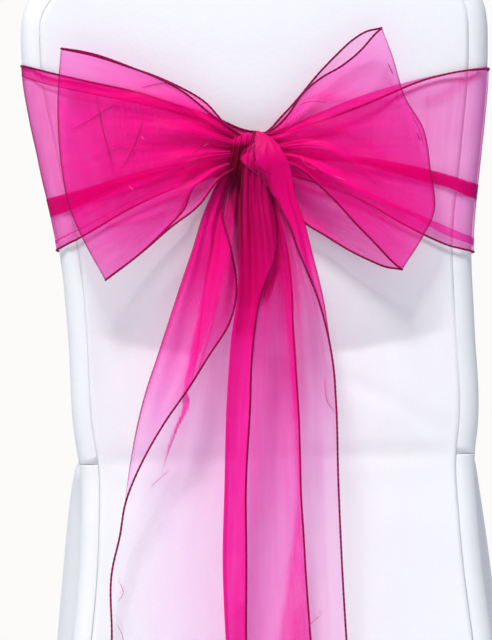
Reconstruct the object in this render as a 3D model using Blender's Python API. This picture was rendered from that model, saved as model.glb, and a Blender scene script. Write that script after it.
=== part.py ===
"""Fitted cover for a banquet chair, with an organza sash tied in a bow on the outside of its back.

The cover is five sewn panels of woven polyester round a hollow: outside back, boxing strip,
inside back, seat and skirt. The sash is one hemmed strip: a band round the back, a knot, two
loops and two tails. Metres, +Z up. The origin is under the cloth at the top of the back, where
the chair carries the cover. The outside back faces -Y, and the seat lies towards +Y.
"""

import math

import bmesh
import bpy
import numpy as np

MM = 0.001

# Cover
CLOTH = 1.5 * MM  # woven polyester with its seam allowance
SEAM_GAP = 0.45 * MM  # between two panels along a seam
EDGE_ROUND = 19 * MM  # from a side edge in to the seam of the boxing strip
SHOULDER = 60 * MM  # radius of the two top corners
SEAT_Z = -465 * MM
FLOOR_Z = -930 * MM
SEAT_ROLL = 18 * MM  # the skirt rolls this far onto the seat
SEAT_FRONT = 480 * MM
FRONT_CORNER = 60 * MM
SKIRT_DROPS = np.array([30, 70, 130, 200, 280, 360, 420, 465]) * MM  # rows of cloth below the seat

# Height, centre line sideways, half width, outside face, depth from face to face (mm)
BACK_PROFILE = [
    (2, -6, 219, -25, 50),
    (-60, -5, 219.5, -19, 50),
    (-93, -5, 219, -15, 51),
    (-180, -3, 208, -5, 54),
    (-266, 0, 195, 4, 57),
    (-340, 3, 193, 11, 61),
    (-438, 5, 192, 18, 71),
    (-465, 5, 188.5, 20, 75),
    (-532, 5, 189.5, 14, 80),
    (-700, 3, 206, -5, 80),
    (-930, 0, 228, -30, 80),
]

# Sash
SASH = 1.2 * MM  # organza, drawn thicker than it is
KNOT_X = -16 * MM
KNOT_Z = -174 * MM
BOW_TILT = math.radians(1.7)  # the bow is tied a little askew
FOLD = 3.2  # radius of a tail's folded edge (mm)


def through(table, at):
    """Smooth curve through a table's rows: column 0 is the position, the others are read there.

    Hermite cubic between two rows, with the mean slope of the rows on either side.
    """
    table = np.asarray(table, float)
    table = table[np.argsort(table[:, 0])]
    place, value = table[:, 0], table[:, 1:]
    slope = np.gradient(value, place, axis=0)
    at = np.clip(np.asarray(at, float), place[0], place[-1])
    i = np.clip(np.searchsorted(place, at) - 1, 0, len(place) - 2)
    run = (place[i + 1] - place[i])[..., None]
    f = (at - place[i])[..., None] / run
    start = (2 * f**3 - 3 * f**2 + 1) * value[i] + (f**3 - 2 * f**2 + f) * run * slope[i]
    end = (3 * f**2 - 2 * f**3) * value[i + 1] + (f**3 - f**2) * run * slope[i + 1]
    return start + end


def line(points, share):
    """Smooth line through points, read at shares 0 to 1 of its length."""
    points = np.asarray(points, float)
    run = np.concatenate([[0], np.cumsum(np.linalg.norm(np.diff(points, axis=0), axis=1))])
    return through(np.column_stack([run / run[-1], points]), share)


def ease(value):
    """0 below 0, 1 above 1, and a soft step between."""
    value = np.clip(value, 0, 1)
    return value * value * (3 - 2 * value)


def profile(z):
    """Centre line, half width, outside face and depth of the back at height z, in metres."""
    read = through(BACK_PROFILE, np.asarray(z) / MM) * MM
    return read[..., 0], read[..., 1], read[..., 2], read[..., 3]


def slant(z):
    """How much longer a step across a side edge is level than square to the edge."""
    step = 1 * MM
    lean = (profile(z + step)[1] - profile(z - step)[1]) / (2 * step)
    return np.sqrt(1 + lean**2)


def round_back(across, deep, turn, z, off):
    """Point on the rounded outline of the back at height z, off outside it.

    across and deep run from -1 to 1 along the straight stretches, and turn is the direction
    in which the surface faces: 0 the outside back, pi / 2 the +X side, pi the inside back.
    """
    centre, half, face, depth = profile(z)
    x = centre + across * (half - EDGE_ROUND) + (EDGE_ROUND + off) * np.sin(turn)
    y = face + depth / 2 + deep * (depth / 2 - EDGE_ROUND) - (EDGE_ROUND + off) * np.cos(turn)
    return np.stack([x, y, z + 0 * x], axis=-1)


def material(name, colour, roughness):
    made = bpy.data.materials.new(name)
    made.use_nodes = True
    surface = made.node_tree.nodes["Principled BSDF"]
    surface.inputs["Base Color"].default_value = (*colour, 1)
    surface.inputs["Roughness"].default_value = roughness
    surface.inputs["Metallic"].default_value = 0
    return made


def sheet(name, grid, thick, finish, closed=False, side=-1):
    """Cloth over a grid of points (rows, columns, 3), made solid with a Solidify modifier."""
    rows, columns = grid.shape[:2]
    shape = bmesh.new()
    corners = [[shape.verts.new(point) for point in row] for row in grid]
    for r in range(rows - 1):
        for c in range(columns if closed else columns - 1):
            d = (c + 1) % columns
            shape.faces.new((corners[r][c], corners[r][d], corners[r + 1][d], corners[r + 1][c]))
    mesh = bpy.data.meshes.new(name)
    shape.to_mesh(mesh)
    shape.free()
    mesh.shade_smooth()
    made = bpy.data.objects.new(name, mesh)
    bpy.context.collection.objects.link(made)
    made.data.materials.append(finish)
    solid = made.modifiers.new("Cloth", "SOLIDIFY")
    solid.thickness = thick
    solid.offset = side
    return made


# Outside back: flat between its two seams, with rounded shoulders, down to the floor hem.
# A pad in the chair's back fills it out above about 350 mm down.
def back_panel(finish):
    inner = SHOULDER - EDGE_ROUND
    top = 2 * MM - EDGE_ROUND - SEAM_GAP
    arc = top - inner * (1 - np.cos(np.radians(np.arange(0, 91, 15))))
    below = np.array([-90, -130, -174, -220, -266, -310, -340, -365, -400, -440]) * MM
    skirt = np.maximum(SEAT_Z - SEAM_GAP - np.concatenate([[0, SEAT_ROLL], SKIRT_DROPS]), FLOOR_Z)
    z = np.concatenate([arc, below, skirt])[:, None]
    across = np.linspace(-1, 1, 9)[None, :]
    centre, half, face, _ = profile(z)
    drop = np.clip(top - z, 0, inner)
    cut = inner - np.sqrt(inner**2 - (inner - drop) ** 2)
    x = centre + across * (half - (EDGE_ROUND + SEAM_GAP) * slant(z) - cut)
    pad = 3 * MM * (1 - ease((-z - 335 * MM) / (45 * MM))) * (1 - across**4)
    folds = 4 * MM * ease((-z - 500 * MM) / (400 * MM)) * np.cos(3.5 * math.pi * across)
    y = face - pad - folds * (1 - across**4) + 0 * x
    return sheet("back_panel", np.stack([x, y, z + 0 * x], -1), CLOTH, finish, side=1)


# Boxing strip: up one side of the back, over the top and down the other side.
def boxing_strip(finish):
    side = np.array([-464.5, -440, -400, -340, -266, -222, -174, -130, -93]) * MM
    angles = np.radians(np.arange(0, 91, 11.25))
    _, half, _, _ = profile(side)
    widest = 219 * MM
    lift = 2 * MM
    path = [(half[i], side[i]) for i in range(len(side))]
    path += [
        (widest - SHOULDER * (1 - math.cos(a)), lift - SHOULDER * (1 - math.sin(a)))
        for a in angles
    ]
    flat = (widest - SHOULDER) * np.array([0.66, 0.33])
    path += [(x, lift) for x in flat]
    path = path + [(0.0, lift)] + [(-x, z) for x, z in reversed(path)]
    path = np.array(path)
    along = np.gradient(path, axis=0)
    along /= np.linalg.norm(along, axis=1)[:, None]
    inward = np.stack([-along[:, 1], along[:, 0]], -1)
    turns = np.radians([0, 8, 30, 60, 90, 90, 90, 120, 150, 172, 180])
    deep = np.array([-1, -1, -1, -1, -1, 0, 1, 1, 1, 1, 1])
    rows = []
    for k in range(len(turns)):
        inset = EDGE_ROUND * (1 - math.sin(turns[k]))
        if k in (0, len(turns) - 1):
            inset -= SEAM_GAP / 2
        spot = path + inward * inset
        spot[:, 1] = np.maximum(spot[:, 1], path[0, 1])
        centre, _, face, depth = profile(spot[:, 1])
        y = face + depth / 2 + deep[k] * (depth / 2 - EDGE_ROUND) - EDGE_ROUND * math.cos(turns[k])
        rows.append(np.stack([spot[:, 0] + centre, y, spot[:, 1]], -1))
    return sheet("boxing_strip", np.array(rows), CLOTH, finish, side=1)


# Inside back: the seat side of the back, down to the seat.
def inside_back(finish):
    inner = SHOULDER - EDGE_ROUND
    top = 2 * MM - EDGE_ROUND - SEAM_GAP
    arc = top - inner * (1 - np.cos(np.radians(np.arange(0, 91, 15))))
    below = np.array([-90, -130, -174, -220, -266, -330, -400, -440, -463]) * MM
    z = np.concatenate([arc, below])[:, None]
    across = np.linspace(-1, 1, 9)[None, :]
    centre, half, face, depth = profile(z)
    drop = np.clip(top - z, 0, inner)
    cut = inner - np.sqrt(inner**2 - (inner - drop) ** 2)
    x = centre + across * (half - (EDGE_ROUND + SEAM_GAP) * slant(z) - cut)
    low = ease((-z - 420 * MM) / (40 * MM))
    pad = 5 * MM * ease((top - z) / (120 * MM)) * (1 - low) * (1 - across**4)
    y = face + depth + pad + 0 * x
    return sheet("inside_back", np.stack([x, y, z + 0 * x], -1), CLOTH, finish)


def seat_outline(forward):
    """Half width of the seat's edge at a place forward of the back."""
    widen = 188.5 * MM + (198 - 188.5) * MM * ease((forward - 82 * MM) / (60 * MM))
    return widen + 3 * MM * ease((forward - 140 * MM) / (240 * MM))


def flare(low, forward):
    """How far the skirt has spread sideways: as the outside back does at the rear, sooner in front."""
    rear = ease((170 * MM - forward) / (80 * MM))
    width = profile(SEAT_Z + (FLOOR_Z - SEAT_Z) * np.asarray(low))[1]
    return rear * (width - 188.5 * MM) + (1 - rear) * 44 * MM * np.asarray(low) ** 0.75


# Skirt: from one back seam round the sides and front to the other, seat to floor.
def skirt_path(low):
    """Half of the outline in plan, from the front middle to a back seam; low is 0 at the seat."""
    front = SEAT_FRONT + 20 * MM * low
    corner = FRONT_CORNER + 10 * MM * low
    wide = seat_outline(np.array(380 * MM)) + flare(low, 380 * MM)
    plan = [(x, front) for x in (wide - corner) * np.array([0.0, 0.34, 0.68])]
    for a in np.radians(np.arange(0, 91, 15)):
        plan.append((wide - corner * (1 - math.sin(a)), front - corner * (1 - math.cos(a))))
    for forward in np.array([350, 280, 210, 160, 140, 122, 106, 92, 78, 60]) * MM:
        plan.append((seat_outline(forward) + flare(low, forward), forward))
    return np.array(plan)


def inset_path(plan, inset):
    """The outline moved in towards the seat."""
    away = np.gradient(plan, axis=0)
    away /= np.linalg.norm(away, axis=1)[:, None]
    return plan + np.stack([away[:, 1], -away[:, 0]], -1) * inset


def on_seat(plan):
    """0 where the skirt hangs from the boxing strip, 1 where it rolls onto the seat."""
    return ease((plan[:, 1] - 84 * MM) / (26 * MM))[:, None]


def seat_shift(forward):
    """The back leans 5 mm to one side of the seat, and the cloth follows it."""
    return 5 * MM * (1 - ease((forward - 60 * MM) / (200 * MM)))


def skirt(finish):
    half_stations = len(skirt_path(0.0))
    roll = np.radians([0, 22.5, 45, 67.5, 90])
    rows = []
    for step in list(roll) + list(SKIRT_DROPS):
        rolling = len(rows) < len(roll)
        fall = SEAT_ROLL * (1 - math.cos(step)) if rolling else step
        low = (fall - SEAT_ROLL) / (465 * MM - SEAT_ROLL) if not rolling else 0.0
        plan = skirt_path(low)
        rolled = on_seat(plan)
        inset = SEAT_ROLL * (1 - math.sin(step)) if rolling else 0.0
        straight = SEAT_ROLL * (step / (math.pi / 2)) if rolling else fall
        depth = rolled[:, 0] * fall + (1 - rolled[:, 0]) * straight
        z = SEAT_Z - SEAM_GAP - depth
        z = np.maximum(z, FLOOR_Z)
        flute = ease((fall - 60 * MM) / (400 * MM))
        share = np.linspace(0, 1, half_stations)
        wave = 9 * MM * flute * np.sin(share * math.pi * 9) * np.sin(share * math.pi) ** 2
        spot = inset_path(plan, inset * rolled - wave[:, None])
        half = np.column_stack([spot, z])
        # rear corner, rounded onto the outside back up to its seam
        z_rear = half[-1, 2]
        centre, width, face, depth_back = (float(v) for v in profile(np.array(z_rear)))
        corner = []
        for a in np.radians([90, 60, 30, 8, 0]):
            x = width - EDGE_ROUND * (1 - math.sin(a)) + (SEAM_GAP / 2 if a == 0 else 0)
            corner.append((x, face + EDGE_ROUND * (1 - math.cos(a)), z_rear))
        half = np.vstack([half, corner])
        mirrored = half[::-1] * np.array([-1, 1, 1])
        whole = np.vstack([mirrored[:-1], half])
        whole[:, 0] += profile(whole[:, 2])[0] / (5 * MM) * seat_shift(whole[:, 1])
        rows.append(whole)
    return sheet("skirt", np.array(rows), CLOTH, finish)


# Seat: a patch with a slight crown, from under the inside back to the front edge.
def seat_panel(finish):
    rear = 93 * MM
    plan = skirt_path(0.0)
    rolled = on_seat(plan)
    edge = inset_path(plan, SEAT_ROLL * rolled + CLOTH * (1 - rolled) + 2 * SEAM_GAP)
    side = edge[edge[:, 0] >= edge[3, 0] - 0.01 * MM]
    side = side[np.argsort(side[:, 1])]
    y = np.concatenate([[rear], side[side[:, 1] > rear + 2 * MM][:, 1]])[:, None]
    across = np.linspace(-1, 1, 11)[None, :]
    x = across * np.interp(y, side[:, 1], side[:, 0]) + seat_shift(y)
    length = (y - rear) / (y[-1] - rear)
    crown = 11 * MM * (1 - across**4) * np.sin(math.pi * length) ** 0.7
    z = SEAT_Z - 0.6 * MM + crown
    return sheet("seat_panel", np.stack([x, y + 0 * x, z], -1), CLOTH, finish)


def from_knot(right, up, out):
    """Point of the bow: right and up of the knot as it is tied, out from the outside back."""
    x = KNOT_X + right * math.cos(BOW_TILT) + up * math.sin(BOW_TILT)
    z = KNOT_Z - right * math.sin(BOW_TILT) + up * math.cos(BOW_TILT)
    _, _, face, _ = profile(z)
    return np.stack([x, face - out, z], axis=-1)


# Band: the sash round the back, full width at the sides and drawn together under the knot.
# Place right of the knot, top hem above it, bottom hem below it (mm)
BAND_OUTSIDE = [
    (-190, 81, -88),
    (-150, 70, -73),
    (-100, 57, -48),
    (-60, 43, -32),
    (-30, 32, -24),
    (0, 19, -20),
    (25, 18, -20),
    (60, 28, -30),
    (100, 39, -46),
    (150, 50, -75),
    (190, 65, -94),
]
# Part of the way round from the -X side to the +X side, top hem, bottom hem (mm)
BAND_INSIDE = [(0.0, 87, -87), (0.2, 86, -97), (0.5, 82, -102), (0.8, 77, -101), (1.0, 73, -100)]


def band(finish):
    corner = np.radians([20, 45, 70, 90])
    stations = [(x, -1.0, 0.0) for x in np.linspace(0, 1, 12)]
    stations += [(1.0, -1.0, a) for a in corner]
    stations += [(1.0, 1.0, a) for a in np.radians([90, 110, 135, 160])]
    stations += [(x, 1.0, math.pi) for x in np.linspace(1, -1, 9)]
    stations += [(-1.0, 1.0, a) for a in np.radians([200, 225, 250, 270])]
    stations += [(-1.0, -1.0, a) for a in np.radians([270, 290, 315, 340])]
    stations += [(x, -1.0, 2 * math.pi) for x in np.linspace(-1, 0, 12)[:-1]]
    share = np.linspace(0, 1, 11)
    columns = []
    for across, deep, turn in stations:
        outside = deep < 0 and (turn == 0 or turn == 2 * math.pi)
        if outside:
            place = np.clip((across * 190 * MM - KNOT_X) / MM, -190, 190)
            top, bottom = through(BAND_OUTSIDE, place)
        else:
            round_side = abs(math.sin(turn)) > 1e-6
            inside = 0.5 * (1 - across)
            if round_side:
                inside = 0.0 if across > 0 else 1.0
            top, bottom = through(BAND_INSIDE, np.array(1 - inside))
        drawn = np.clip((170 - (top - bottom)) / 130, 0, 1)
        z = KNOT_Z + (top + (bottom - top) * share) * MM
        steep = min(1.0 + 5 * drawn, 0.36 * (top - bottom) / 4)
        ripple = steep * MM * (0.5 - 0.5 * np.cos(2 * math.pi * 4 * share))
        pleat = 1.2 * MM * np.exp(-(((share - 0.8) / 0.06) ** 2)) * (1 - drawn)
        tight = 0.5 * MM + 0.3 * MM * share if abs(math.sin(turn)) > 0.3 else 1.8 * MM
        away = SASH / 2 + tight + (ripple + pleat) * (1.0 if outside else 0.25)
        if outside:
            away = away + 3 * MM * (1 - across**4)
        elif abs(math.sin(turn)) <= 1e-6:
            away = away + 5.5 * MM * (1 - across**4)
        columns.append(round_back(across, deep, turn, z, away))
    grid = np.array(columns).transpose(1, 0, 2)
    return sheet("sash", grid, SASH, finish, closed=True, side=0)


# Loops: each is the strip laid out from the knot, turned at its outer fold and brought back.
# Every line runs from the knot outwards: right of the knot, above it (mm)
LEFT_LOOP = {
    "top_back": [(-4, 12), (-19, 24), (-37, 44), (-66, 61), (-105, 75), (-145, 88), (-170, 92)],
    "top_front": [(-5, 14), (-30, 31), (-58, 53), (-78, 64), (-105, 75), (-145, 89), (-172, 94)],
    "low_back": [(-6, -10), (-30, -24), (-43, -47), (-70, -70), (-98, -95), (-131, -120)],
    "low_front": [(-5, -13), (-25, -27), (-44, -52), (-70, -71), (-98, -96), (-132, -122)],
    "fold": [(-172, 94), (-175, 46), (-172, -15), (-164, -56), (-154, -80), (-132, -122)],
}
RIGHT_LOOP = {
    "top_back": [(6, 11), (22, 19), (43, 42), (70, 74), (85, 90), (99, 104), (111, 112), (125, 113)],
    "top_front": [(7, 12), (28, 21), (38, 31), (55, 54), (70, 66), (88, 76), (106, 89), (127, 110)],
    "low_back": [(8, -14), (27, -30), (52, -64), (75, -80), (95, -93), (115, -104), (146, -112)],
    "low_front": [(10, -8), (30, -10), (49, -17), (67, -32), (86, -50), (120, -84), (146, -110)],
    "fold": [(127, 110), (136, 87), (149, 46), (165, 19), (172, -19), (175, -61), (146, -112)],
}


def coons(top, low, fold, start, out_share, down):
    """Patch between two hems, the gathers at the knot and the outer fold.

    out_share runs from the knot to the fold, and down from the top hem to the low hem.
    """
    r, t = np.meshgrid(out_share, down, indexing="ij")
    hems = (1 - t)[..., None] * line(top, r) + t[..., None] * line(low, r)
    ends = (1 - r)[..., None] * line(start, t) + r[..., None] * line(fold, t)
    c00, c01, c10, c11 = (np.array(p, float) for p in (top[0], low[0], top[-1], low[-1]))
    flat = (1 - r)[..., None] * ((1 - t)[..., None] * c00 + t[..., None] * c01)
    flat = flat + r[..., None] * ((1 - t)[..., None] * c10 + t[..., None] * c11)
    return hems + ends - flat


def loop(lines, finish, waves, phase):
    down = np.linspace(0, 1, 18)
    theta = np.linspace(0, math.pi, 21)
    reach = np.sin(theta) ** 0.9
    rows = []
    for k, turn in enumerate(theta):
        r = reach[k]
        front = 0.5 - 0.5 * math.cos(turn)
        pair = []
        for layer in ("back", "front"):
            top, low = lines["top_" + layer], lines["low_" + layer]
            fold = np.array(lines["fold"], float)
            spread = np.linspace(0, 1, len(fold))[:, None]
            slip = (1 - spread) * (np.array(top[-1]) - fold[0]) + spread * (np.array(low[-1]) - fold[-1])
            pair.append(coons(top, low, fold + slip, [top[0], low[0]], np.array([r]), down)[0])
        blend = ease(np.array(front))
        flat = pair[0] * (1 - blend) + pair[1] * blend
        height = float(np.linalg.norm(flat[0] - flat[-1]))
        full = ease(np.array(r / 0.45))
        gap = (3.5 + 13.5 * full) * (0.6 + 0.4 * np.sin(math.pi * down))
        middle = 25 + 1 * full + 3 * np.sin(math.pi * down) * full
        deep = min(0.17 * height / waves, 1.2 + 4.5 * (1 - r))
        ripple = deep * np.cos(2 * math.pi * waves * down + phase) * (1 - r**6)
        out = middle - math.cos(turn) * gap + ripple * (0.55 + 0.45 * math.cos(turn) ** 2)
        rows.append(from_knot(flat[:, 0] * MM, flat[:, 1] * MM, out * MM))
    return sheet("loop", np.array(rows), SASH, finish, side=0)


# Tails: the two ends of the strip, hanging free from the knot to their cut ends.
# Drop below the knot, one hem, the fold or outer edge, the hem folded back over it (mm)
LEFT_TAIL = [
    (17, 6, -8, -5),
    (30, 17, -26, -16),
    (55, 27, -40, -24),
    (90, 36, -52, -16),
    (134, 39, -67, -13),
    (162, 39, -78, -21),
    (190, 40, -88, -40),
    (220, 41, -99, -60),
    (251, 42, -108, -82),
    (287, 42, -116, -104),
    (327, 42, -123, -123),
    (390, 44, -137, -137),
    (455, 47, -139, -139),
    (530, 50, -141, -141),
]
RIGHT_TAIL = [
    (17, 9, -6, -2),
    (30, 32, -7, 12),
    (42, 43, -8, 22),
    (69, 52, -8, 25),
    (96, 58, -9, 23),
    (138, 67, -12, 9),
    (165, 71, -17, 4),
    (197, 75, -22, -1),
    (236, 77, -25, -3),
    (308, 77, -29, -9),
    (385, 78, -33, -11),
    (460, 80, -32, -13),
    (530, 83, -30, -12),
]


def tail(table, finish, root_out, stand_off, lean, waves, phase, slant):
    """Hanging end: straight down the back in rows, folded back over its outer edge in front."""
    drops = [17, 23, 31, 42, 58, 78, 100, 124, 150, 180, 215, 255, 298, 345, 400, 460, 525]
    drops = np.array(drops)
    turn = np.radians([0, 30, 60, 90, 120, 150, 180])
    hem, fold, flap = through(table, drops).T
    rows = []
    for k, drop in enumerate(drops):
        inner = fold[k] + FOLD
        main = hem[k] + (inner - hem[k]) * np.linspace(0, 1, 13)[:-1]
        round_fold = inner - FOLD * np.sin(turn)
        back = inner + (max(flap[k], inner + 5) - inner) * np.array([0.33, 0.66, 1.0])
        x = np.concatenate([main, round_fold, back])
        over = np.concatenate([0 * main, 0.5 - 0.5 * np.cos(turn), 1 + 0 * back])
        width = hem[k] - fold[k]
        place = (x - fold[k]) / width
        deep = min(0.15 * width / waves, 4.5) * ease(np.array((drop - 14) / 100))
        ripple = deep * np.sin(2 * math.pi * waves * place + phase + drop / 260)
        root = root_out + (stand_off - root_out) * ease(np.array((drop - 17) / 40))
        hang = lean * place * ease(np.array((drop - 30) / 170))
        out = (root + ripple + 2 * FOLD * over + hang) * MM
        down = drop + slant * (place - 0.5) * ease(np.array((drop - 350) / 175))
        y = profile(np.array(KNOT_Z))[2] - out + 6 * MM * ease(np.array(drop / 525))
        rows.append(np.stack([KNOT_X + x * MM, y, KNOT_Z - down * MM], -1))
    return sheet("tail", np.array(rows), SASH, finish, side=0)


# Knot: the wrap that draws the bow together, with its gathers running over it.
KNOT_HALF = (21, 28, 19)  # sideways, up and down, out (mm)
KNOT_OUT = 24.2


def knot(finish):
    shape = bmesh.new()
    bmesh.ops.create_uvsphere(shape, u_segments=28, v_segments=14, radius=1)
    for vert in shape.verts:
        x, y, z = vert.co
        angle = math.atan2(x, -y)
        gather = 1 + 0.04 * math.cos(7 * angle + 1.6 * z) * (1 - z * z)
        waist = 1 - 0.10 * math.cos(math.pi * z)
        right = x * KNOT_HALF[0] * gather * waist + 4 * z * z * (1 if z > 0 else -1)
        out = KNOT_OUT - y * KNOT_HALF[2] * gather
        vert.co = from_knot(np.array(right * MM), np.array(z * KNOT_HALF[1] * MM), np.array(out * MM))
    mesh = bpy.data.meshes.new("knot")
    shape.to_mesh(mesh)
    shape.free()
    made = bpy.data.objects.new("knot", mesh)
    bpy.context.collection.objects.link(made)
    made.data.materials.append(finish)
    return made


def join_sash(body, others):
    """The sash is one cloth, so its parts become one solid."""
    for other in others:
        union = body.modifiers.new("Join " + other.name, "BOOLEAN")
        union.operation = "UNION"
        union.solver = "EXACT"
        union.use_self = True
        union.object = other
        other.hide_render = True
        other.display_type = "WIRE"
    return body


def main():
    for old in list(bpy.data.objects):
        bpy.data.objects.remove(old, do_unlink=True)
    white = material("cover_polyester", (0.86, 0.87, 0.92), 0.75)
    pink = material("sash_organza", (0.78, 0.02, 0.28), 0.45)
    back_panel(white)
    boxing_strip(white)
    inside_back(white)
    seat_panel(white)
    skirt(white)
    body = band(pink)
    left = loop(LEFT_LOOP, pink, 3.5, 0.4)
    right = loop(RIGHT_LOOP, pink, 3.5, 2.2)
    back_tail = tail(LEFT_TAIL, pink, 11, 12, 4, 3, 0.3, 26)
    front_tail = tail(RIGHT_TAIL, pink, 24, 34, 8, 2.5, 1.4, -22)
    join_sash(body, [knot(pink), left, right, back_tail, front_tail])


main()
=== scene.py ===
import math

import bmesh
import bpy
import numpy as np
from mathutils import Matrix, Vector


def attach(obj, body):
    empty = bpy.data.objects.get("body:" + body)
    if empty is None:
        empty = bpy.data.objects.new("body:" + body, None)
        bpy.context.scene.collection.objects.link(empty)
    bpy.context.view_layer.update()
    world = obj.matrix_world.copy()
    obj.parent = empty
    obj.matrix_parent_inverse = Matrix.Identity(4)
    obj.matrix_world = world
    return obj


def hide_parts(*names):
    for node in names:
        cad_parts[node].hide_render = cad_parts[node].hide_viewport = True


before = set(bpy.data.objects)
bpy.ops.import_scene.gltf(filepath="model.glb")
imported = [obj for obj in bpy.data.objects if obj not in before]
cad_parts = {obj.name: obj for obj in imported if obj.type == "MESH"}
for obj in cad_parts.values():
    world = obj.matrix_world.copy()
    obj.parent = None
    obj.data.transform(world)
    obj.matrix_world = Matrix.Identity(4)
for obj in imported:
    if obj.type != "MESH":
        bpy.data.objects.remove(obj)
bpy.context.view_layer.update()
scene = bpy.context.scene
MM = 0.001


# Camera: level with the bow's tails, behind the chair, turned 1.7 degrees as the photo is.
BACK_HEIGHT = 0.6016  # metres of the back that the frame's height covers
CAMERA_AWAY = 3.0
lens = bpy.data.cameras.new("camera")
lens.sensor_fit = "VERTICAL"
lens.sensor_height = 24
lens.lens = 24 * CAMERA_AWAY / BACK_HEIGHT
camera = bpy.data.objects.new("camera", lens)
bpy.context.collection.objects.link(camera)
aim = Vector((-0.0206, 0.0, -0.332))
turned = Matrix.Rotation(math.radians(90), 4, "X") @ Matrix.Rotation(math.radians(-1.7), 4, "Z")
camera.matrix_world = Matrix.Translation(aim - Vector((0, CAMERA_AWAY, 0))) @ turned
scene.camera = camera


# Light: a high soft key in front, a low fill, and a pale room all round.
def soft_light(name, place, towards, size, watts, colour):
    data = bpy.data.lights.new(name, "AREA")
    data.shape = "DISK"
    data.size = size
    data.energy = watts
    data.color = colour
    made = bpy.data.objects.new(name, data)
    bpy.context.collection.objects.link(made)
    made.location = place
    made.rotation_euler = (Vector(towards) - Vector(place)).to_track_quat("-Z", "Y").to_euler()


soft_light("key", (-0.5, -2.0, 2.75), (0, 0, -0.35), 0.8, 150, (1.0, 0.985, 0.965))
soft_light("fill", (0.9, -2.6, -0.5), (0, 0, -0.5), 1.6, 3, (0.9, 0.94, 1.0))
soft_light("left_side", (-2.3, -0.5, 0.1), (0, 0, -0.35), 1.6, 6, (1.0, 1.0, 1.0))
soft_light("right_side", (2.3, -0.5, 0.1), (0, 0, -0.35), 1.6, 2.5, (1.0, 1.0, 1.0))
soft_light("seat_light", (0.6, 2.4, 1.3), (0, 0.2, -0.4), 1.4, 40, (1.0, 1.0, 1.0))

room = bpy.data.worlds.new("room")
room.use_nodes = True
room_nodes = room.node_tree.nodes
room_links = room.node_tree.links
room_shade = room_nodes["Background"]
room_shade.inputs["Color"].default_value = (0.68, 0.76, 1.0, 1)
room_shade.inputs["Strength"].default_value = 0.30
room_seen = room_nodes.new("ShaderNodeBackground")
room_seen.inputs["Color"].default_value = (0.975, 0.965, 0.955, 1)
room_ray = room_nodes.new("ShaderNodeLightPath")
room_mix = room_nodes.new("ShaderNodeMixShader")
room_links.new(room_ray.outputs["Is Camera Ray"], room_mix.inputs["Fac"])
room_links.new(room_shade.outputs[0], room_mix.inputs[1])
room_links.new(room_seen.outputs[0], room_mix.inputs[2])
room_links.new(room_mix.outputs[0], room_nodes["World Output"].inputs["Surface"])
scene.world = room
scene.view_settings.view_transform = "Standard"
scene.cycles.transparent_max_bounces = 40
scene.cycles.max_bounces = 14


class Value:
    """A node's output, with the usual signs for shader maths."""

    def __init__(self, finish, socket):
        self.finish, self.socket = finish, socket

    def math(self, kind, other=0.0):
        return self.finish.node("ShaderNodeMath", {0: self, 1: other}, operation=kind)

    def __add__(self, other):
        return self.math("ADD", other)

    def __sub__(self, other):
        return self.math("SUBTRACT", other)

    def __mul__(self, other):
        return self.math("MULTIPLY", other)

    def clamp(self, low=0.0, high=1.0):
        return self.math("MAXIMUM", low).math("MINIMUM", high)


class Finish:
    """A material, its nodes added one call at a time."""

    def __init__(self, name):
        self.material = bpy.data.materials.new(name)
        self.material.use_nodes = True
        self.tree = self.material.node_tree
        self.tree.nodes.clear()

    def node(self, kind, inputs=None, out=0, **settings):
        made = self.tree.nodes.new(kind)
        for name, value in settings.items():
            setattr(made, name, value)
        for name, value in (inputs or {}).items():
            if isinstance(value, Value):
                self.tree.links.new(value.socket, made.inputs[name])
            else:
                made.inputs[name].default_value = value
        return Value(self, made.outputs[out])

    def attribute(self, name):
        return self.node("ShaderNodeAttribute", out="Fac", attribute_name=name)

    def noise(self, vector, scale, detail=2.0):
        sizes = {"Vector": vector, "Scale": scale, "Detail": detail}
        return self.node("ShaderNodeTexNoise", sizes, out="Fac")

    def stretched(self, vector, scale):
        return self.node("ShaderNodeMapping", {"Vector": vector, "Scale": scale})

    def bump(self, height, strength, distance):
        sizes = {"Height": height, "Strength": strength, "Distance": distance}
        return self.node("ShaderNodeBump", sizes, out="Normal")

    def blend(self, share, first, second):
        """Colour between first and second."""
        return self.node("ShaderNodeMix", {0: share, 6: first, 7: second}, out=2, data_type="RGBA")

    def show(self, shader):
        surface = self.tree.nodes.new("ShaderNodeOutputMaterial").inputs["Surface"]
        self.tree.links.new(shader.socket, surface)
        return self.material


def through(table, at):
    """Smooth curve through a table's rows: column 0 is the position, the others are read there."""
    table = np.asarray(table, float)
    table = table[np.argsort(table[:, 0])]
    place, value = table[:, 0], table[:, 1:]
    slope = np.gradient(value, place, axis=0)
    at = np.clip(np.asarray(at, float), place[0], place[-1])
    i = np.clip(np.searchsorted(place, at) - 1, 0, len(place) - 2)
    run = (place[i + 1] - place[i])[..., None]
    f = (at - place[i])[..., None] / run
    start = (2 * f**3 - 3 * f**2 + 1) * value[i] + (f**3 - 2 * f**2 + f) * run * slope[i]
    end = (3 * f**2 - 2 * f**3) * value[i + 1] + (f**3 - f**2) * run * slope[i + 1]
    return start + end


def line(points, share):
    """Smooth line through points, read at shares 0 to 1 of its length."""
    points = np.asarray(points, float)
    run = np.concatenate([[0], np.cumsum(np.linalg.norm(np.diff(points, axis=0), axis=1))])
    return through(np.column_stack([run / run[-1], points]), share)


def ease(value):
    """0 below 0, 1 above 1, and a soft step between."""
    value = np.clip(value, 0, 1)
    return value * value * (3 - 2 * value)


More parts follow.
